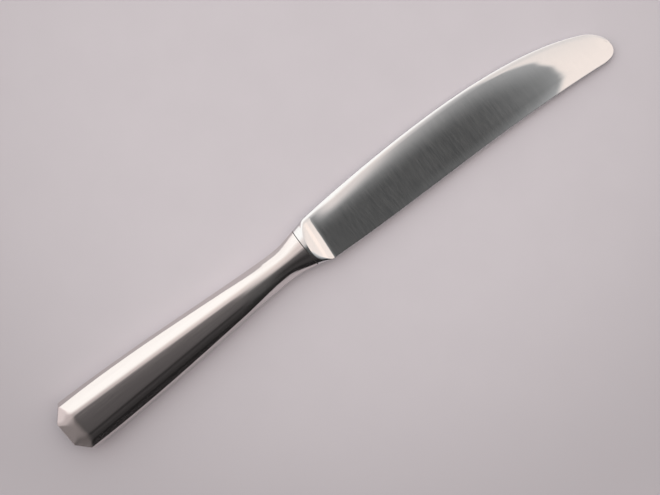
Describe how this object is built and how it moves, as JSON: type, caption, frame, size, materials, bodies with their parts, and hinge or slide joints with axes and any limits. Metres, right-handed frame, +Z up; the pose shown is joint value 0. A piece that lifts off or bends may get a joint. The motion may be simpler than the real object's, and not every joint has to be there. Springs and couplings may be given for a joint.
{
  "type": "dessert knife",
  "caption": "Dessert knife with a curved round-tipped steel blade, an oval bolster and a faceted hollow handle that narrows to a neck; it lies on its side.",
  "frame": {"origin": "on the table plane, under the middle of the knife's outline", "axes": "+X along the knife from the butt to the tip, +Y towards the spine, +Z up from the flat face that the knife lies on"},
  "size_m": [0.2056, 0.0208, 0.0088],
  "materials": {
    "blade_steel": "polished, with fine grinding lines across the blade",
    "handle_steel": "polished, with faint wear lines along the handle",
    "solder": "rough as run in",
    "cement": "matt, cast in",
    "joint_film": "dark film in the joint line"
  },
  "bodies": {
    "root": {"blade": "blade_steel", "handle_upper_shell": "handle_steel", "handle_lower_shell": "handle_steel", "seam_solder": "solder", "handle_filler": "cement", "mouth_seal": "joint_film"}
  },
  "joints": []
}
